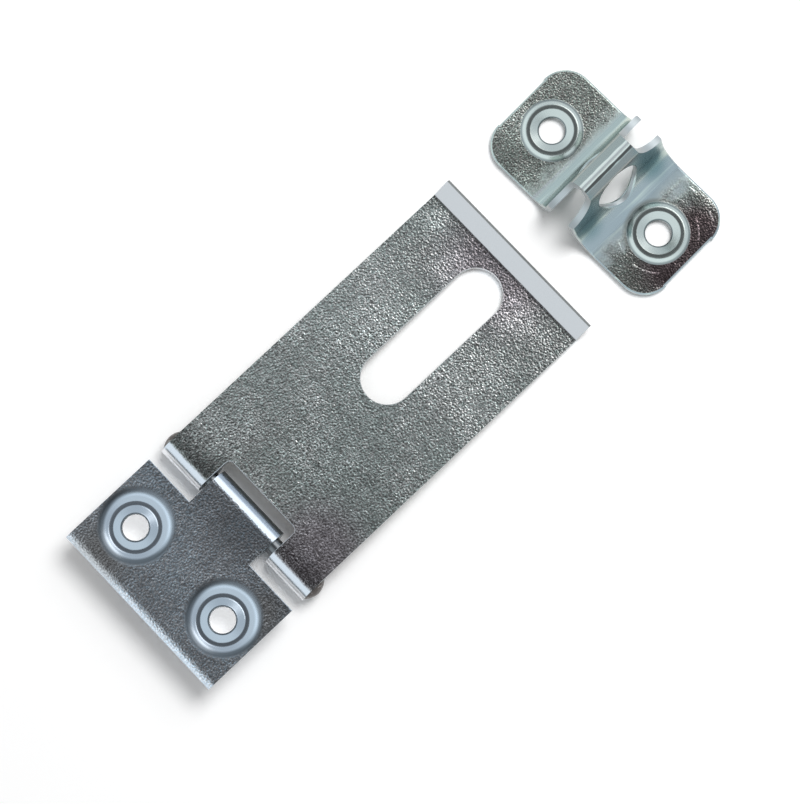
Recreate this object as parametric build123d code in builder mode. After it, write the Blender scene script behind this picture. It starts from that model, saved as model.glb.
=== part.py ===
from build123d import *
import math
import os

# A light pressed-steel hasp and its staple, as they lie loose on a table.
# The hasp lies opened out straight, on its barrel and the heel of its lip, with the leaf clear of the table.
# The door side of the leaf and the outer face of the strap are up. The staple lies beyond the lip.
# Lengths are in millimetres and angles in degrees.

# Sheet and pin, which set the barrel
sheet = 1.2
pin_diameter = 3.4
pin_play = 0.05             # between the pin and the knuckles, on the radius
knuckle_wrap = 296          # how far round the pin each knuckle is rolled
pin_head_diameter = 4.9
pin_head_height = 1.0
pin_head_gap = 0.05         # between a head and the knuckle it bears on

# Leaf: lengths run from the pin's axis
leaf_length = 26.0
leaf_overhang = 0.15        # how far each side of the leaf stands past the strap's
leaf_shoulder = 5.55
leaf_roll_radius = 6.0      # the outer edge is rolled over a little by the shear
leaf_roll_angle = 20
tongue_width = 15.6
tongue_shift = 0.35         # the tongue's play is taken up to one side
leaf_hole_reach = 15.75
leaf_hole_inset = 7.33      # from the leaf's sides to its holes

# Strap: lengths run from the pin's axis
strap_length = 65.1         # to where the lip starts to turn up
strap_width = 37.3
notch_gap = 1.05            # the mean gap beside the tongue
notch_reach = 5.0
notch_corner = 1.0
lip_angle = 31
lip_bend_radius = 1.5       # on the upper face
lip_length = 3.3            # its flat part
slot_length = 32.2
slot_width = 9.75
slot_to_lip = 1.9           # from the slot's end to where the lip starts

# Screw seats: each hole stands in a ring of sheet that is pressed out towards the screw's head
hole_diameter = 4.8
hole_wall = 1.3             # from the hole's rim to the foot of the seat's cone
rim_proud = 0.2             # how far the hole's rim passes the door face
rim_round = 0.25
foot_round = 0.25           # where the hole meets the seat's cone
seat_diameter = 8.0         # the seat's mouth
seat_ring = 0.7             # how far the ring is pressed out
ring_inner_width = 0.85     # flat top of the ring, from the seat's mouth outwards
ring_slope_width = 0.95     # its slope back to the plate
dish_floor_round = 0.5      # on the door side the ring is a valley with a flat floor
leaf_dish_width = 1.25      # from that floor up to the plate, which is soft on the leaf
leaf_dish_round = 3.4
staple_dish_width = 0.75    # and tighter on the staple, beside its ridge
staple_dish_round = 1.0
press_round = 0.55          # rounding of the ring's corners
seat_margin = 0.05          # flat sheet round each seat's roundings

# Staple
staple_length = 42.9
staple_width = 23.0
staple_hole_spacing = 27.2
staple_corner = 5.6
staple_end_flat = 12.0      # the straight of each end, which is cut a little short of its corners
staple_end_step = 0.22
ridge_height = 13.0         # above the wings' upper faces
ridge_half_width = 2.5      # to the shoulders, where the walls turn in to the crest
ridge_slope = 10.0          # how far each wall leans out from upright
ridge_lean = 4.0            # how far the whole ridge leans to one side
crest_slope = 35.0          # how steeply the two flanks fall from the crest
crest_radius = 1.25
ridge_shoulder_radius = 1.5
ridge_near_reach = 9.2      # from the middle to where the wing starts to curve up into the steeper wall
ridge_far_reach = 7.45      # and on the other side
crest_length = 11.8
crest_notch_radius = 5.6
eye_diameter = 9.4
eye_height = 6.2            # its centre, above the wings' upper faces
staple_reach = 89.8         # from the pin's axis to the middle of the staple
staple_offset = -1.3        # across the hasp
staple_turn = 1.6

# Edges
punch_round = 0.12          # the slot's and the notch's upper edges, and the leaf's shoulders
eye_round = 0.35            # the eye's edges, on both faces of each wall
wing_round = 0.4            # the wings' upper edge
edge_break = 0.25           # the seats' mouths

# What follows from those sizes
knuckle_inner = pin_diameter / 2 + pin_play
knuckle_outer = knuckle_inner + sheet
leaf_width = strap_width + 2 * leaf_overhang
leaf_hole_spacing = leaf_width - 2 * leaf_hole_inset
notch_width = tongue_width + 2 * notch_gap
hole_radius = hole_diameter / 2
seat_mouth = seat_diameter / 2
ring_crest = seat_mouth + ring_inner_width
ring_foot = ring_crest + ring_slope_width
cone_slope = math.atan2(seat_ring + rim_proud, seat_mouth - hole_radius)    # on the door side
rim_height = rim_proud - rim_round * (math.tan(cone_slope) + 1 / math.cos(cone_slope) - 1)
hole_middle = rim_proud - hole_wall / 2
slot_middle = strap_length - slot_to_lip - slot_length / 2
pin_height = knuckle_outer  # above the table
pin_half = strap_width / 2 + pin_head_gap
bend_centre = knuckle_outer + lip_bend_radius   # above the pin's axis, square to the strap
roll_centre = knuckle_outer - leaf_roll_radius
leaf_flat = leaf_length - leaf_roll_radius * math.sin(math.radians(leaf_roll_angle))
cut = 3 * sheet             # far enough to pass through the sheet and what is pressed out of it


def strap_slope():
    """How far the strap drops when the heel of its lip rests on the table."""
    reach = math.hypot(strap_length, bend_centre)
    lift = math.degrees(math.atan2(bend_centre, strap_length))
    return lift + math.degrees(math.asin((pin_height - lip_bend_radius - sheet) / reach))


def sheet_frame(side, slope):
    """A plane across the pin: x runs out along a sheet, y is the way its upper face looks."""
    lean = math.radians(slope)
    run = Vector(side * math.cos(lean), 0, -math.sin(lean))
    up = Vector(side * math.sin(lean), 0, math.cos(lean))
    return Plane(origin=(0, 0, pin_height), x_dir=run, z_dir=run.cross(up))


def face_frame(section, reach, across, height):
    """A plane on a sheet, square to its section: z is the way the sheet's upper face looks."""
    spot = section.from_local_coords(Vector(reach, height, 0)) + Vector(0, across, 0)
    return Plane(origin=spot, x_dir=section.x_dir, z_dir=section.y_dir)


def polar(radius, angle):
    return (radius * math.cos(math.radians(angle)), radius * math.sin(math.radians(angle)))


def knuckle_outline(reach):
    """A sheet from a given reach to the top of the barrel, and on round the pin."""
    last = 90 + knuckle_wrap
    middle = 90 + knuckle_wrap / 2
    with BuildSketch() as outline:
        with BuildLine():
            top = Line((reach, knuckle_outer), (0, knuckle_outer))
            outer = ThreePointArc(top @ 1, polar(knuckle_outer, middle), polar(knuckle_outer, last))
            end = Line(outer @ 1, polar(knuckle_inner, last))
            inner = ThreePointArc(end @ 1, polar(knuckle_inner, middle), (0, knuckle_inner))
            under = Line(inner @ 1, (reach, knuckle_inner))
            Line(under @ 1, top @ 0)
        make_face()
    return outline.sketch


def round_reach(radius, rise, run):
    """How far a rounding runs along the flat sheet, next to a slope of that rise and run."""
    return radius * math.tan(math.atan2(rise, run) / 2)


def seat_outline(dish_width, dish_round):
    """Half the section of a screw seat: x is the radius, y points out of the sheet's door face."""
    ring = -sheet - seat_ring
    dish_radius = ring_crest + dish_width
    head_edge = ring_foot + round_reach(press_round, seat_ring, ring_slope_width)
    door_edge = dish_radius + round_reach(dish_round, seat_ring, dish_width)
    edge = max(head_edge, door_edge) + seat_margin
    with BuildSketch() as outline:
        with BuildLine():
            door = FilletPolyline(
                (edge, 0), (dish_radius, 0), (ring_crest, -seat_ring), (seat_mouth, -seat_ring),
                (hole_radius, rim_proud), (hole_radius, hole_middle),
                radius=[dish_round, dish_floor_round, dish_floor_round, rim_round], close=False,
            )
            head = FilletPolyline(
                (hole_radius, hole_middle), (hole_radius, rim_proud - hole_wall), (seat_mouth, ring),
                (ring_crest, ring), (ring_foot, -sheet), (edge, -sheet),
                radius=[foot_round, edge_break, press_round, press_round], close=False,
            )
            Line(head @ 1, door @ 0)
        make_face()
    return outline.sketch, edge


def screw_seat(door_face, dish_width, dish_round):
    """The sheet to take out round one hole, and the pressed ring that goes in its place."""
    section, edge = seat_outline(dish_width, dish_round)
    across = Plane(origin=door_face.origin, x_dir=door_face.x_dir,
                   z_dir=door_face.x_dir.cross(door_face.z_dir))
    with BuildPart() as blank:
        with BuildSketch(door_face):
            Circle(edge)
        extrude(amount=cut, both=True)
    with BuildPart() as ring:
        with BuildSketch(across):
            add(section)
        revolve(axis=Axis(door_face.origin, door_face.z_dir))
    return blank.part, ring.part


def bend_arc(radius):
    """One face of the lip's bend, in the strap's section."""
    return CenterArc((strap_length, bend_centre), radius, -90, lip_angle)


def roll_arc(radius):
    """One face of the leaf's rolled edge, in the leaf's section."""
    return CenterArc((leaf_flat, roll_centre), radius, 90, -leaf_roll_angle)


def ridge_path():
    """The upper face of the folded strip: the wings, the ridge's feet, its shoulders and its crest."""
    flank = math.radians(crest_slope)
    apex = sheet + ridge_height + crest_radius * (1 / math.cos(flank) - 1)
    shoulder = apex - ridge_half_width * math.tan(flank)
    wall_slopes = [math.radians(ridge_slope + lean) for lean in (ridge_lean, -ridge_lean)]
    runs = [(shoulder - sheet) * math.tan(slope) for slope in wall_slopes]
    foot = ridge_half_width + sum(runs) / 2
    foot_radii = [(reach - foot) / math.tan(math.pi / 4 - slope / 2)
                  for reach, slope in zip((ridge_near_reach, ridge_far_reach), wall_slopes)]
    crest = (runs[0] - runs[1]) / 2
    end = staple_length / 2
    return FilletPolyline(
        (-end, sheet), (-foot, sheet), (crest - ridge_half_width, shoulder), (crest, apex),
        (crest + ridge_half_width, shoulder), (foot, sheet), (end, sheet),
        radius=[foot_radii[0], ridge_shoulder_radius, crest_radius, ridge_shoulder_radius, foot_radii[1]],
    )


leaf_section = sheet_frame(-1, -strap_slope())
strap_section = sheet_frame(1, strap_slope())
leaf_face = face_frame(leaf_section, 0, 0, knuckle_outer)
strap_face = face_frame(strap_section, 0, 0, knuckle_outer)

# The leaf: its plate, the tongue that rolls round the pin, and two screw seats
leaf_holes = [face_frame(leaf_section, leaf_hole_reach, side * leaf_hole_spacing / 2, knuckle_outer)
              for side in (-1, 1)]
leaf_seats = [screw_seat(hole, leaf_dish_width, leaf_dish_round) for hole in leaf_holes]
with BuildPart() as fixed_leaf:
    with BuildSketch(leaf_section):
        with BuildLine():
            upper = roll_arc(leaf_roll_radius)
            lower = roll_arc(leaf_roll_radius - sheet)
            Line(upper @ 1, lower @ 1)
            Polyline(upper @ 0, (leaf_shoulder, knuckle_outer), (leaf_shoulder, knuckle_inner), lower @ 0)
        make_face()
    extrude(amount=leaf_width / 2, both=True)
    with BuildSketch(Plane(origin=leaf_section.origin + Vector(0, tongue_shift, 0),
                           x_dir=leaf_section.x_dir, z_dir=leaf_section.z_dir)):
        add(knuckle_outline(leaf_shoulder))
    extrude(amount=tongue_width / 2, both=True)
    reach = leaf_section.from_local_coords(Vector(leaf_shoulder, knuckle_outer, 0)).X
    shoulders = fixed_leaf.edges().filter_by(Axis.Y)
    shoulders = shoulders.filter_by_position(Axis.X, reach - sheet / 2, reach + sheet / 2)
    fillet(shoulders.group_by(Axis.Z)[-1], radius=punch_round)
    for blank, ring in leaf_seats:
        add(blank, mode=Mode.SUBTRACT)
        add(ring)

# The strap: plate, lip and the outer knuckles in one section, then the notch and the slot
with BuildPart() as hasp_strap:
    with BuildSketch(strap_section):
        add(knuckle_outline(strap_length))
        with BuildLine():
            upper = bend_arc(lip_bend_radius)
            lower = bend_arc(lip_bend_radius + sheet)
            upper_lip = PolarLine(upper @ 1, lip_length, lip_angle)
            lower_lip = PolarLine(lower @ 1, lip_length, lip_angle)
            Line(upper @ 0, lower @ 0)
            Line(upper_lip @ 1, lower_lip @ 1)
        make_face()
    extrude(amount=strap_width / 2, both=True)
    # The gap for the centre knuckle: all of the barrel, and on to a round-cornered edge in the plate
    with BuildSketch(strap_face):
        Rectangle(2 * notch_reach, notch_width)
        fillet(vertices().group_by(Axis.X)[-1], radius=notch_corner)
    extrude(amount=-2 * knuckle_outer - cut, mode=Mode.SUBTRACT)
    with BuildSketch(strap_face):
        with Locations((slot_middle, 0)):
            SlotOverall(slot_length, slot_width)
    extrude(amount=cut, both=True, mode=Mode.SUBTRACT)
    upper_face = hasp_strap.faces().sort_by(SortBy.AREA)[-2:].sort_by(Axis.Z)[-1]
    notch_edges = [edge for edge in upper_face.outer_wire().edges()
                   if abs(edge.center().Y) < notch_width / 2 + punch_round
                   and edge.center().X < 2 * notch_reach]
    fillet(upper_face.inner_wires().edges() + notch_edges, radius=punch_round)

# The pin: a round wire with a low peened head at each end
head_sphere = (pin_head_diameter ** 2 / 4 + pin_head_height ** 2) / (2 * pin_head_height)
with BuildPart() as hinge_pin:
    with BuildSketch(Plane(origin=(0, 0, pin_height), x_dir=(0, 1, 0), z_dir=(1, 0, 0))):
        with BuildLine():
            shank = Line((0, pin_diameter / 2), (pin_half, pin_diameter / 2))
            seat = Line(shank @ 1, (pin_half, pin_head_diameter / 2))
            dome = RadiusArc(seat @ 1, (pin_half + pin_head_height, 0), head_sphere)
            core = Line(dome @ 1, (0, 0))
            Line(core @ 1, shank @ 0)
        make_face()
    revolve(axis=Axis((0, 0, pin_height), (0, 1, 0)))
    mirror(about=Plane.XZ)

# The staple: a folded strip, cut to its outline, with the eye through both walls of the ridge.
# It rests on the rounded rims of its holes, or on its wings if those are lower.
turn = math.radians(staple_turn)
staple_base = Plane(origin=(staple_reach, staple_offset, max(rim_height, 0)),
                    x_dir=(math.cos(turn), math.sin(turn), 0), z_dir=(0, 0, 1))
staple_section = Plane(origin=staple_base.origin, x_dir=staple_base.y_dir, z_dir=staple_base.x_dir)
staple_side = Plane(origin=staple_base.origin, x_dir=staple_base.x_dir,
                    z_dir=staple_base.x_dir.cross(staple_base.z_dir))

staple_holes = [Plane(origin=staple_base.from_local_coords(Vector(0, side * staple_hole_spacing / 2, 0)),
                      x_dir=staple_base.x_dir, z_dir=(0, 0, -1)) for side in (-1, 1)]
staple_seats = [screw_seat(hole, staple_dish_width, staple_dish_round) for hole in staple_holes]
with BuildPart() as staple:
    with BuildSketch(staple_section):
        with BuildLine():
            ridge_path()
            offset(amount=sheet, side=Side.RIGHT)
        make_face()
    extrude(amount=staple_width / 2, both=True)
    # Large round corners, with the straight of each end cut a step short of them
    with BuildSketch(staple_base):
        RectangleRounded(staple_width, staple_length, staple_corner)
        with Locations((0, -staple_length / 2), (0, staple_length / 2)):
            Rectangle(staple_end_flat, 2 * staple_end_step, mode=Mode.SUBTRACT)
    extrude(amount=sheet + ridge_height, mode=Mode.INTERSECT)
    # Soft punched edges, all round each wing but where it meets the ridge
    wings = staple.faces().filter_by(Axis.Z).sort_by(Axis.Z)[-2:]
    fillet([wing.edges().sort_by_distance(staple_base.origin)[1:] for wing in wings], radius=wing_round)
    # Round notches that leave the crest shorter than the ridge's feet
    with BuildSketch(staple_side):
        notch_middle = crest_length / 2 + crest_notch_radius
        with Locations((-notch_middle, sheet + ridge_height), (notch_middle, sheet + ridge_height)):
            Circle(crest_notch_radius)
    extrude(amount=staple_length / 2, both=True, mode=Mode.SUBTRACT)
    with BuildSketch(staple_side):
        with Locations((0, sheet + eye_height)):
            Circle(eye_diameter / 2)
    extrude(amount=staple_length / 2, both=True, mode=Mode.SUBTRACT)
    fillet(staple.edges(Select.LAST).filter_by(GeomType.LINE, reverse=True), radius=eye_round)
    for blank, ring in staple_seats:
        add(blank, mode=Mode.SUBTRACT)
        add(ring)

# The origin is the middle of the whole footprint, on the table
pieces = {"fixed_leaf": fixed_leaf, "hasp_strap": hasp_strap, "hinge_pin": hinge_pin, "staple": staple}
whole = Compound([piece.part for piece in pieces.values()]).bounding_box()
to_footprint = Location((-whole.center().X, -whole.center().Y, -whole.min.Z))
os.makedirs("parts", exist_ok=True)
for name, piece in pieces.items():
    piece.part.move(to_footprint)
    piece.part.label = name
    export_step(piece.part, "parts/" + name + ".step")

pin_middle = to_footprint.position + Vector(0, 0, pin_height)
print("pin axis", round(pin_middle.X, 4), round(pin_middle.Y, 4), round(pin_middle.Z, 4))
print("slope", round(strap_slope(), 4))
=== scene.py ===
import math
import bpy
from mathutils import Matrix, Vector

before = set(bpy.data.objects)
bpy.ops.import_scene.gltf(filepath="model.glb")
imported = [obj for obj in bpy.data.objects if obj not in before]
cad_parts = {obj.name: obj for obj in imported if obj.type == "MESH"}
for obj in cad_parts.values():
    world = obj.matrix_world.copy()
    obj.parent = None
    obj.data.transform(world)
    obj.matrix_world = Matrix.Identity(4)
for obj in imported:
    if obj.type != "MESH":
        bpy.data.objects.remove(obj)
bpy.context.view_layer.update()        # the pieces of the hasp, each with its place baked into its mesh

print("frame loaded:", ", ".join(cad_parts))
mm = 0.001
noiseMean = 0.5          # noise less this swings about zero


# A shader socket. Sums and products of sockets read as plain expressions, and node() adds any other node.
class Sock:
    def __init__(self, tree, socket=None):
        self.tree = tree
        self.socket = socket

    # Link an input to a socket, or set it to a plain value
    def feed(self, target, value):
        if isinstance(value, Sock):
            self.tree.links.new(value.socket, target)
        else:
            target.default_value = value

    # Any node, from its type, its settings, and the values or links of its inputs
    def node(self, kind, settings=None, inputs=None, out=0):
        made = self.tree.nodes.new(kind)
        for name, value in (settings or {}).items():
            setattr(made, name, value)
        for name, value in (inputs or {}).items():
            self.feed(made.inputs[name], value)
        return Sock(self.tree, made.outputs[out])

    # Numbers go through a Math node, and a tuple among the values makes it a Vector Math node
    def math(self, operation, *values):
        isVector = any(isinstance(value, tuple) for value in values)
        kind = "ShaderNodeVectorMath" if isVector else "ShaderNodeMath"
        return self.node(kind, {"operation": operation}, dict(enumerate(values)))

    def __add__(self, other):
        return self.math("ADD", self, other)

    def __radd__(self, other):
        return self.math("ADD", other, self)

    def __sub__(self, other):
        return self.math("SUBTRACT", self, other)

    def __rsub__(self, other):
        return self.math("SUBTRACT", other, self)

    def __mul__(self, other):
        return self.math("MULTIPLY", self, other)

    def __rmul__(self, other):
        return self.math("MULTIPLY", other, self)

    # The number without its sign
    def size(self):
        return self.math("ABSOLUTE", self)

    # The greater of two masks
    def either(self, other):
        return self.math("MAXIMUM", self, other)

    # The first value below low and the second above high, with a soft step between
    def step(self, low, high, to=(0.0, 1.0)):
        return self.node("ShaderNodeMapRange", {"interpolation_type": "SMOOTHSTEP"},
                         {0: self, 1: low, 2: high, 3: to[0], 4: to[1]})

    # 1 below low and 0 above high
    def fade(self, low, high):
        return self.step(low, high, to=(1.0, 0.0))

    # This socket is the share of the second number
    def mix(self, first, second):
        return self.node("ShaderNodeMix", {}, {0: self, 2: first, 3: second})

    # This socket is the share of the second colour
    def blend(self, first, second):
        return self.node("ShaderNodeMix", {"data_type": "RGBA"}, {0: self, 6: first, 7: second}, out=2)

    # One of the three parts of a vector
    def part(self, axis):
        return self.node("ShaderNodeSeparateXYZ", {}, {0: self}, out=axis)

    # A colour or vector, scaled as a whole
    def scaled(self, factor):
        return self.node("ShaderNodeVectorMath", {"operation": "SCALE"}, {0: self, "Scale": factor})

    def length(self):
        return self.node("ShaderNodeVectorMath", {"operation": "LENGTH"}, {0: self}, out="Value")

    # Noise at a given size of feature, in this place's own units
    def noise(self, size, detail=2.0, roughness=0.5):
        return self.node("ShaderNodeTexNoise", {}, {
            "Vector": self, "Scale": 1 / size, "Detail": detail, "Roughness": roughness})


# A cleared tree of nodes, and the input that takes its shader
def newTree(owner, output):
    owner.use_nodes = True
    owner.node_tree.nodes.clear()
    surface = owner.node_tree.nodes.new(output).inputs["Surface"]
    return Sock(owner.node_tree), surface


def newMaterial(name):
    material = bpy.data.materials.new(name)
    tree, surface = newTree(material, "ShaderNodeOutputMaterial")
    return material, tree, surface


# Where on the piece a point is, in millimetres
def piecePlace(tree):
    return tree.node("ShaderNodeTexCoord", out="Object").scaled(1 / mm)


# Heights are in millimetres too
def bump(tree, height):
    return tree.node("ShaderNodeBump", {}, {"Strength": 1.0, "Distance": mm, "Height": height})


# Each of these takes its noise from a far place of its own, so that none follows another
noiseFrom = {
    "speck": (100.0, 200.0, 300.0),
    "hue": (300.0, 100.0, 200.0),
    "blotch": (200.0, 300.0, 100.0),
}

# Zinc over rolled steel: a hard fine grain that is burnished away where the sheet is bent or pressed,
# clouds of tint, painted highlight patches, painted shade, and rougher cut faces. These are the strap's
# values, and the leaf and the staple change some of them. Lengths and places are in millimetres. A spot is
# x, y and radius.
strapLook = {
    "tints": ((0.585, 0.63, 0.59, 1), (0.63, 0.61, 0.58, 1)),
    "cloudSize": 17.0,
    "cloudShare": (0.3, 0.7),
    "cloudSpeck": 1.6,                 # how far single grains stray from the cloud's tint
    "darkTint": (0.525, 0.463, 0.475, 1),
    "darkSpots": ((-33.0, -13.0, 13.0), (27.0, 2.0, 17.0)),
    # Painted highlights: spots where the flats are lighter and their grain stronger
    "paintedHighlightSpots": ((20.0, 7.5, 5.0), (22.0, -6.0, 5.5), (24.5, 16.5, 3.5)),
    "paintedHighlightGain": 0.38,
    # Painted shade along x: from x, to x, and the shade at each: by the hinge, towards the lip, and along
    # the lip's foot
    "paintedShading": ((-38.0, -31.5, 0.42, 1.0), (6.0, 20.0, 1.0, 0.66), (24.4, 26.6, 1.0, 0.80)),
    # Bare metal turns from the first tint into the second between two places along an axis
    "bentTints": ((0.64, 0.65, 0.68, 1), (0.56, 0.535, 0.53, 1)),
    "bentAxis": 0,
    "bentFrom": -37.0,
    "bentTo": -30.0,
    "flatUp": (0.955, 0.992),          # how far up a face looks where the grain starts, and where it is full
    "flatBreak": 0.02,                 # how ragged that border is
    "grainSize": 0.38,
    "grainHeight": 0.064,
    "speckSize": 0.33,
    "speckShade": 1.80,                # from the darkest grain to the lightest
    "blotchSize": 1.5,
    "blotchShade": 0.7,
    "waveSize": 13.0,
    "waveHeight": 0.05,
    "dentSize": 2.2,
    "dentHeight": 0.010,
    "patchSize": 9.0,
    "patchShare": (0.40, 0.68),        # the noise where a patch begins, and where it is full
    "patchGrain": (0.8, 1.2),          # how strong the grain is outside a patch, and in it
    "roughness": 0.17,
    "grainRoughness": 0.12,            # how far it strays with the grain
    "bentRoughness": 0.25,
    "cutAxis": 1,                      # the sheared sides look along this axis
    "cutFacing": (0.8, 0.9),           # how squarely a cut face looks that way
    "cutRoughness": 0.45,
    "cutTint": (0.46, 0.48, 0.48, 1),
    "endCutAndPaintedShadeTint": (0.19, 0.205, 0.205, 1),     # painted shade on what looks towards +X
    "backFacing": (-0.85, -0.6),
    "backCutAndPaintedLightTint": (0.97, 0.98, 1.0, 1),       # painted highlight on what looks towards -X, such as that side of the barrel
    # The strap has no seats, painted fillet shade, tool marks or ridge
    "seats": (),
    "seatBare": (0.0, 0.0, 0.0),
    "seatRingsWithPaintedLight": (),
    "filletPaintedShade": (),
    "arcs": None,
    "ridge": None,
}
leafLook = dict(
    strapLook,
    tints=((0.63, 0.70, 0.77, 1), (0.67, 0.66, 0.68, 1)),
    darkTint=(0.52, 0.50, 0.495, 1),
    darkSpots=((-62.0, 14.0, 9.0), (-48.0, -14.0, 7.0)),
    # painted highlights in the leaf's middle
    paintedHighlightSpots=((-54.0, 2.0, 7.0), (-58.0, -6.0, 6.0)),
    paintedHighlightGain=0.12,
    # painted shade, darker towards the hinge
    paintedShading=((-49.0, -40.0, 1.0, 0.62),),
    bentTints=((0.56, 0.57, 0.60, 1), (0.43, 0.467, 0.523, 1)),
    bentFrom=-63.5,
    bentTo=-60.0,
    seats=((-53.53, -10.17), (-53.53, 12.77)),    # the middles of the pressed seats
    # How far the bare round is shifted towards the hinge, its radius, and the share of it before its border
    seatBare=(0.3, 7.6, 0.86),
    # The same of each ring, with its tint, from the outermost in: painted shade round the seat, a painted
    # highlight shifted towards +X, the shoulder, painted shade in the valley, the cone, and painted shade at
    # the hole's rim. Each one covers the middle of the one before.
    seatRingsWithPaintedLight=(
        (0.0, 8.5, 0.9, (0.13, 0.145, 0.16, 1)),
        (2.0, 6.9, 0.68, (0.64, 0.705, 0.78, 1)),
        (0.15, 6.1, 0.9, (0.42, 0.455, 0.50, 1)),
        (0.0, 5.0, 0.86, (0.30, 0.33, 0.37, 1)),
        (0.0, 4.25, 0.93, (0.43, 0.47, 0.515, 1)),
        (0.0, 2.75, 0.94, (0.14, 0.155, 0.17, 1)),
    ),
    # the leaf's faces towards -X, its outer cut edge among them, are darker
    backCutAndPaintedLightTint=(0.40, 0.41, 0.42, 1),
    grainHeight=0.046,
    speckShade=1.10,
    blotchShade=0.35,
)
# The staple's folded ridge
ridgeLook = {
    "middle": 51.8,                    # the crest passes y = 0 here
    "turn": 0.028,                     # its slope to the X axis
    "half": 7.1,                       # half of the ridge's width at the foot
    "crest": 3.0,                      # and near the top
    "rimFade": 0.3,                    # how far past the foot its rims still reach
    "rimTilt": (0.08, 0.2),            # how far the rims and the crest's top may look towards a wing
    "lean": 1.2,                       # the grain comes nearer to the ridge on the wing at +Y
    "bareTo": 6.4,                     # how far from the middle line the grain starts
    "grainFrom": 12.6,                 # and where it is full
    "ragged": 5.0,
    "paintedGlowTo": 12.0,                    # where the painted highlight beside the ridge ends
    "paintedGlow": 0.45,
    "satinRoughness": 0.55,
    "streakPull": 0.08,                # streaks are noise drawn out along the ridge
    "streakSize": 1.5,
    "streakShare": (0.50, 0.72),
    "streakTint": (0.60, 0.66, 0.60, 1),
    # Painted light and shade along the crest: offset, half width and tint. The pale line is a painted
    # highlight, the others painted shade, the darkest in the crease.
    "crestPaintedLines": (
        (2.6, 1.6, (0.33, 0.365, 0.345, 1)),
        (-1.2, 1.1, (0.27, 0.29, 0.28, 1)),
        (0.85, 0.75, (0.74, 0.76, 0.70, 1)),
        (0.0, 0.30, (0.09, 0.09, 0.085, 1)),
    ),
    "lineCore": 0.6,                   # the share of a line's half width before its border
    "lineRagged": 0.3,
}
# Thin broken arcs that a tool has left round a seat
arcLook = {
    "rounds": ((52.18, -13.59, 7.4, 0.16), (52.18, -13.59, 10.2, 0.2)),     # x, y, radius and width
    "core": 0.5,                       # the share of an arc's width before its border
    "breakSize": 4.0,
    "breakShare": (0.52, 0.60),
}
stapleLook = dict(
    strapLook,
    tints=((0.44, 0.485, 0.43, 1), (0.455, 0.44, 0.40, 1)),
    darkTint=(0.17, 0.13, 0.13, 1),
    darkSpots=((49.5, -19.5, 10.0), (58.0, -18.0, 8.0)),
    # painted highlights on the wing at +Y
    paintedHighlightSpots=((41.0, 10.0, 5.0), (47.0, 20.0, 6.0)),
    paintedHighlightGain=0.30,
    paintedShading=((62.2, 63.2, 1.0, 2.1),),  # painted highlight along the edge at +X
    bentTints=((0.36, 0.41, 0.425, 1), (0.42, 0.475, 0.455, 1)),
    bentAxis=1,
    bentFrom=-6.5,
    bentTo=-2.5,
    seats=((52.18, -13.59), (51.42, 13.59)),
    seatBare=(0.0, 5.6, 0.9),
    # Rings from the outermost in: painted shade round the seat, a painted highlight on its thin rim, painted
    # shade in the valley, the cone, and painted shade at the hole's rim
    seatRingsWithPaintedLight=(
        (0.0, 6.8, 0.9, (0.26, 0.28, 0.27, 1)),
        (0.0, 5.65, 0.93, (0.60, 0.63, 0.59, 1)),
        (0.0, 5.0, 0.88, (0.21, 0.225, 0.215, 1)),
        (0.0, 4.15, 0.93, (0.54, 0.565, 0.53, 1)),
        (0.0, 2.75, 0.94, (0.16, 0.18, 0.18, 1)),
    ),
    # Painted shade in the hollows at both ends of the ridge's wall towards -Y: spots and tint
    filletPaintedShade=((((43.5, -3.0, 4.5), (59.8, -3.2, 4.5)), (0.17, 0.26, 0.27, 1)),),
    cutAxis=0,
    # the staple's faces towards +X take the cut tint, without painted shade
    endCutAndPaintedShadeTint=(0.46, 0.48, 0.48, 1),
    # the staple's faces towards -X take the cut tint
    backCutAndPaintedLightTint=(0.46, 0.48, 0.48, 1),
    speckShade=1.96,
    grainSize=0.33,
    speckSize=0.28,
    grainHeight=0.052,
    arcs=arcLook,
    ridge=ridgeLook,
)


# How far a place is from the upright line through x and y
def awayFrom(place, x, y):
    return ((place - (x, y, 0.0)) * (1.0, 1.0, 0.0)).length()


# How near a place is to any of some spots: 1 up to the core's share of the radius, and 0 past the radius
def nearSpots(place, spots, core=0.25):
    near = 0
    for x, y, radius in spots:
        near = near + awayFrom(place, x, y).fade(core * radius, radius)
    return near


def nearSeats(place, look, shift, radius, core):
    return nearSpots(place, [(x + shift, y, radius) for x, y in look["seats"]], core)


def toolArcs(place, arcs):
    marks = 0
    for x, y, radius, width in arcs["rounds"]:
        marks = marks + (awayFrom(place, x, y) - radius).size().fade(arcs["core"] * width, width)
    return marks * place.noise(arcs["breakSize"], detail=1.0).step(*arcs["breakShare"])


# Tint of the flats: clouds with single grains strayed from them, then dark spots, then painted highlights,
# random blotches and painted shade
def flatTint(place, look, bright):
    hue = (place + noiseFrom["hue"]).noise(look["speckSize"], detail=0.0) - noiseMean
    cloud = place.noise(look["cloudSize"], roughness=0.6) + hue * look["cloudSpeck"]
    tint = cloud.step(*look["cloudShare"]).blend(*look["tints"])
    tint = nearSpots(place, look["darkSpots"]).blend(tint, look["darkTint"])
    blotch = (place + noiseFrom["blotch"]).noise(look["blotchSize"], detail=1.0) - noiseMean
    shade = 1 + bright + blotch * look["blotchShade"]
    # Painted shade and painted highlight in bands along x
    for start, stop, first, last in look["paintedShading"]:
        shade = shade * place.part(0).step(start, stop, to=(first, last))
    return tint.scaled(shade)


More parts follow.
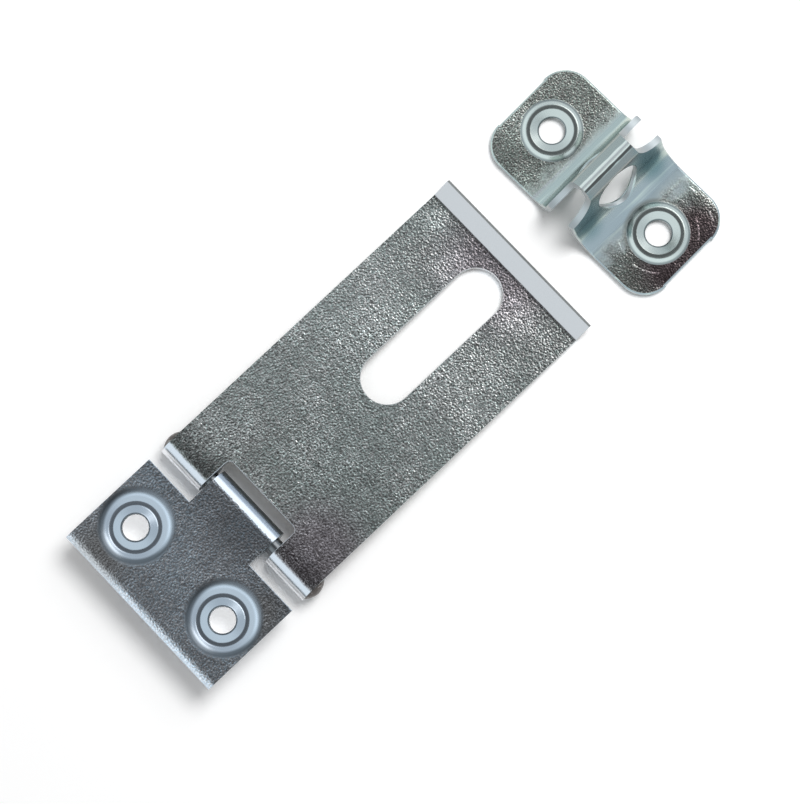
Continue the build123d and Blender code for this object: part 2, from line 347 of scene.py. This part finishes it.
# Tint of bare metal: the bends, the ridge's streaks and its lines of painted light and shade, the seats'
# rings of painted light and shade from the outermost in, and painted shade in the ridge's hollows
def bentTint(place, look, ragged):
    tint = place.part(look["bentAxis"]).step(look["bentFrom"], look["bentTo"]).blend(*look["bentTints"])
    ridge = look["ridge"]
    if ridge:
        drawn = (place * (ridge["streakPull"], 1.0, 1.0)).noise(ridge["streakSize"])
        tint = drawn.step(*ridge["streakShare"]).blend(tint, ridge["streakTint"])
        side = place.part(1) - (place.part(0) - ridge["middle"]) * ridge["turn"]
        for offset, half, colour in ridge["crestPaintedLines"]:
            line = (side - offset).size() + ragged * ridge["lineRagged"]
            tint = line.fade(ridge["lineCore"] * half, half).blend(tint, colour)
    # Painted shade and painted highlight rings round each seat
    for shift, radius, core, colour in look["seatRingsWithPaintedLight"]:
        tint = nearSeats(place, look, shift, radius, core).blend(tint, colour)
    for spots, colour in look["filletPaintedShade"]:
        tint = nearSpots(place, spots).blend(tint, colour)
    return tint


def platedMaterial(name, look):
    material, tree, surface = newMaterial(name)
    place = piecePlace(tree)
    facing = tree.node("ShaderNodeTexCoord", out="Normal")
    dent = place.noise(look["dentSize"], detail=1.0)
    ragged = dent - noiseMean
    # Grain is left on the flats, away from the seats
    level = (facing.part(2).size() + ragged * look["flatBreak"]).step(*look["flatUp"])
    flat = level * (1 - nearSeats(place, look, *look["seatBare"]))
    bareRoughness = look["bentRoughness"]
    cut = facing.part(look["cutAxis"]).size().step(*look["cutFacing"])
    # Painted highlights on the flats; the tool arcs added to them are real marks
    bright = nearSpots(place, look["paintedHighlightSpots"]) * look["paintedHighlightGain"]
    if look["arcs"]:
        bright = bright + toolArcs(place, look["arcs"])
    ridge = look["ridge"]
    if ridge:
        # Beside the ridge the wings get a painted highlight and are satin before the grain starts.
        # The ridge's rims and its crest's top are as bright as cut faces.
        away = (place.part(1) + ridge["lean"]).size() + ragged * ridge["ragged"]
        grained = away.step(ridge["bareTo"], ridge["grainFrom"])
        satin = flat * (1 - grained) * away.step(ridge["crest"], ridge["half"])
        bareRoughness = satin.mix(look["bentRoughness"], ridge["satinRoughness"])
        flat = flat * grained
        bright = bright + away.fade(ridge["bareTo"], ridge["paintedGlowTo"]) * ridge["paintedGlow"]
        onRidge = place.part(1).size().fade(ridge["half"], ridge["half"] + ridge["rimFade"])
        cut = cut.either(facing.part(1).size().fade(*ridge["rimTilt"]) * onRidge)
    end = facing.part(0).step(*look["cutFacing"])
    back = facing.part(0).fade(*look["backFacing"])
    # How strong the grain is, in patches, and the noises that it is made of
    patch = place.noise(look["patchSize"]).step(*look["patchShare"], to=look["patchGrain"])
    amount = (patch + bright) * flat
    speck = (place + noiseFrom["speck"]).noise(look["speckSize"], detail=0.0) - noiseMean
    grain = place.noise(look["grainSize"], detail=1.0, roughness=0.4)
    wave = place.noise(look["waveSize"], detail=1.0)
    tint = flat.blend(bentTint(place, look, ragged), flatTint(place, look, bright))
    tint = cut.blend(tint, look["cutTint"])
    # Faces towards -X and +X take tints of their own: on the strap a painted highlight on the barrel's side
    # towards -X, and on the strap and leaf painted shade towards +X
    tint = back.blend(tint, look["backCutAndPaintedLightTint"])
    tint = end.blend(tint, look["endCutAndPaintedShadeTint"])
    tint = tint.scaled(1 + speck * amount * look["speckShade"])
    flatRoughness = (grain - noiseMean) * look["grainRoughness"] + look["roughness"]
    roughness = flat.mix(bareRoughness, flatRoughness)
    roughness = cut.either(end).mix(roughness, look["cutRoughness"])
    height = grain * amount * look["grainHeight"] + wave * look["waveHeight"] + dent * look["dentHeight"]
    shader = tree.node("ShaderNodeBsdfPrincipled", {}, {
        "Base Color": tint, "Metallic": 1.0, "Roughness": roughness, "Normal": bump(tree, height)})
    tree.feed(surface, shader)
    return material


# The pin is darker, with its peened heads browned and pitted
pinLook = {
    "wireTint": (0.16, 0.165, 0.17, 1),
    "headTint": (0.085, 0.075, 0.07, 1),
    "pitTint": (0.26, 0.25, 0.24, 1),
    "middle": 1.3,                     # of the hinge, along Y
    "headReach": 18.6,                 # from the middle to where the heads start
    "headBorder": 0.1,
    "pitSize": 0.5,
    "pitShare": (0.56, 0.66),
    "pitHeight": 0.12,
    "roughness": (0.22, 0.35),         # of the wire, and of the heads
}


def pinMaterial(name, look):
    material, tree, surface = newMaterial(name)
    place = piecePlace(tree)
    out = (place.part(1) - look["middle"]).size()
    head = out.step(look["headReach"], look["headReach"] + look["headBorder"])
    pits = place.noise(look["pitSize"])
    headTint = pits.step(*look["pitShare"]).blend(look["headTint"], look["pitTint"])
    shader = tree.node("ShaderNodeBsdfPrincipled", {}, {
        "Base Color": head.blend(look["wireTint"], headTint), "Metallic": 1.0,
        "Roughness": head.mix(*look["roughness"]), "Normal": bump(tree, pits * head * look["pitHeight"])})
    tree.feed(surface, shader)
    return material


finishes = {
    "fixed_leaf": platedMaterial("leafZinc", leafLook),
    "hasp_strap": platedMaterial("strapZinc", strapLook),
    "staple": platedMaterial("stapleZinc", stapleLook),
    "hinge_pin": pinMaterial("pinZinc", pinLook),
}
for name, material in finishes.items():
    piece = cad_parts[name]
    for slot in piece.material_slots:
        slot.material = material
print("finishes made:", len(finishes))


def addObject(name, data):
    added = bpy.data.objects.new(name, data)
    bpy.context.scene.collection.objects.link(added)
    return added


# The table: plain white where it is seen or mirrored, and greyer for the light that it sends up.
# It keeps the object's shadow.
table = {
    "width": 3.0,
    "colour": (1.12, 1.12, 1.12, 1),
    "bounce": (0.45, 0.45, 0.45, 1),
}


def makeTable():
    half = table["width"] / 2
    corners = [(-half, -half, 0), (half, -half, 0), (half, half, 0), (-half, half, 0)]
    mesh = bpy.data.meshes.new("tableTop")
    mesh.from_pydata(corners, [], [(0, 1, 2, 3)])
    top = addObject("tableTop", mesh)
    material, tree, surface = newMaterial("tableWhite")
    shown = tree.node("ShaderNodeLightPath", out="Is Camera Ray")
    for ray in ("Is Glossy Ray", "Is Transmission Ray"):
        shown = shown.either(tree.node("ShaderNodeLightPath", out=ray))
    colour = shown.blend(table["bounce"], table["colour"])
    tree.feed(surface, tree.node("ShaderNodeBsdfDiffuse", {}, {"Color": colour}))
    mesh.materials.append(material)


makeTable()
print("table laid")

# Soft studio light. The metal mirrors a dark ceiling, pale walls and one lamp past the lip.
# The table is lit by a plain pale surround and a softer lamp of its own, which the metal doesn't mirror.
studio = {
    "ceiling": (0.08, 0.081, 0.082, 1),
    "ceilingEdge": (5.0, 32.0),        # degrees from straight up
    "nearWall": (1.05, 1.18, 1.26, 1),
    "farWall": (0.78, 0.88, 0.96, 1),
    "wallTurn": (-0.3, 0.5),           # where, towards the lip, the near wall turns into the far one
    "tableFill": (0.40, 0.40, 0.40, 1),
}
# Angles are in degrees: from straight up towards the lip, and then round to +Y
lamps = {
    "keyLamp": {
        "angle": 41.0, "turn": 4.0, "distance": 0.75, "width": 0.52, "power": 1.13, "mirrored": True,
    },
    "tableLamp": {
        "angle": 28.0, "turn": 4.0, "distance": 0.80, "width": 0.40, "power": 3.34, "mirrored": False,
    },
}


def makeStudio():
    world = bpy.data.worlds.new("studio")
    bpy.context.scene.world = world
    tree, surface = newTree(world, "ShaderNodeOutputWorld")
    way = tree.node("ShaderNodeTexCoord", out="Generated")
    fromUp = way.math("ARCCOSINE", way.part(2)) * (180 / math.pi)
    wall = way.part(0).step(*studio["wallTurn"]).blend(studio["nearWall"], studio["farWall"])
    mirrored = fromUp.step(*studio["ceilingEdge"]).blend(studio["ceiling"], wall)
    toTable = tree.node("ShaderNodeLightPath", out="Is Diffuse Ray")
    colour = toTable.blend(mirrored, studio["tableFill"])
    tree.feed(surface, tree.node("ShaderNodeBackground", {}, {"Color": colour, "Strength": 1.0}))


# Stand a light at a spot, with its back turned to a direction
def standLight(name, data, spot, back, mirrored):
    light = addObject(name, data)
    light.location = spot
    light.rotation_mode = "QUATERNION"
    light.rotation_quaternion = back.to_track_quat("Z", "Y")
    light.visible_glossy = mirrored


def makeLamp(name, lamp):
    data = bpy.data.lights.new(name, "AREA")
    data.shape = "DISK"
    data.size = lamp["width"]
    data.energy = lamp["power"]
    angle = math.radians(lamp["angle"])
    turn = math.radians(lamp["turn"])
    back = Vector((math.sin(angle) * math.cos(turn), math.sin(angle) * math.sin(turn), math.cos(angle)))
    standLight(name, data, back * lamp["distance"], back, lamp["mirrored"])


for name, lamp in lamps.items():
    makeLamp(name, lamp)
makeStudio()
print("light set")

# The camera looks down at the photograph's angle. Angles are in degrees, and lengths in metres.
lens = {
    "azimuth": -22.62,
    "elevation": 84.49,
    "roll": -21.11,
    "distance": 0.4483,
    "target": (-0.003257, -0.00319, 0.0),
    "focalPixels": 2451.5,
    "frame": (800, 804),               # in pixels
    "sensor": 36.0,                    # in millimetres
    "clipStart": 0.01,
}


def makeCamera():
    data = bpy.data.cameras.new("camera")
    data.sensor_width = lens["sensor"]
    data.lens = lens["focalPixels"] * lens["sensor"] / max(lens["frame"])
    data.clip_start = lens["clipStart"]
    azimuth = math.radians(lens["azimuth"])
    elevation = math.radians(lens["elevation"])
    roll = math.radians(lens["roll"])
    level = math.cos(elevation)
    back = Vector((math.sin(azimuth) * level, -math.cos(azimuth) * level, math.sin(elevation)))
    right = Vector((math.cos(azimuth), math.sin(azimuth), 0))
    up = back.cross(right)
    rolledRight = right * math.cos(roll) + up * math.sin(roll)
    rolledUp = up * math.cos(roll) - right * math.sin(roll)
    turn = Matrix((rolledRight, rolledUp, back)).transposed()
    spot = Vector(lens["target"]) + back * lens["distance"]
    camera = addObject("camera", data)
    camera.matrix_world = Matrix.Translation(spot) @ turn.to_4x4()
    bpy.context.scene.camera = camera
    return spot


cameraSpot = makeCamera()
bpy.context.scene.view_settings.view_transform = "Standard"
print("camera set")

# A narrow beam from the camera's place through each of the leaf's holes, so that the table shows white
# in them. The metal doesn't mirror it. Lengths are in metres.
beams = {
    "holes": ((-0.05372, 0.012775), (-0.05372, -0.010175)),
    "height": 0.0068,
    "width": 0.0052,
    "power": 3.4,
    "border": 0.15,                    # the share of the beam that fades
    "sourceRadius": 0.001,
}


def makeBeam(name, hole):
    back = cameraSpot - Vector((*hole, beams["height"]))
    data = bpy.data.lights.new(name, "SPOT")
    data.energy = beams["power"]
    data.spot_size = 2 * math.atan(beams["width"] / 2 / back.length)
    data.spot_blend = beams["border"]
    data.shadow_soft_size = beams["sourceRadius"]
    standLight(name, data, cameraSpot, back, mirrored=False)


for number, hole in enumerate(beams["holes"]):
    makeBeam("holeBeam" + str(number), hole)
print("beams set:", len(beams["holes"]))
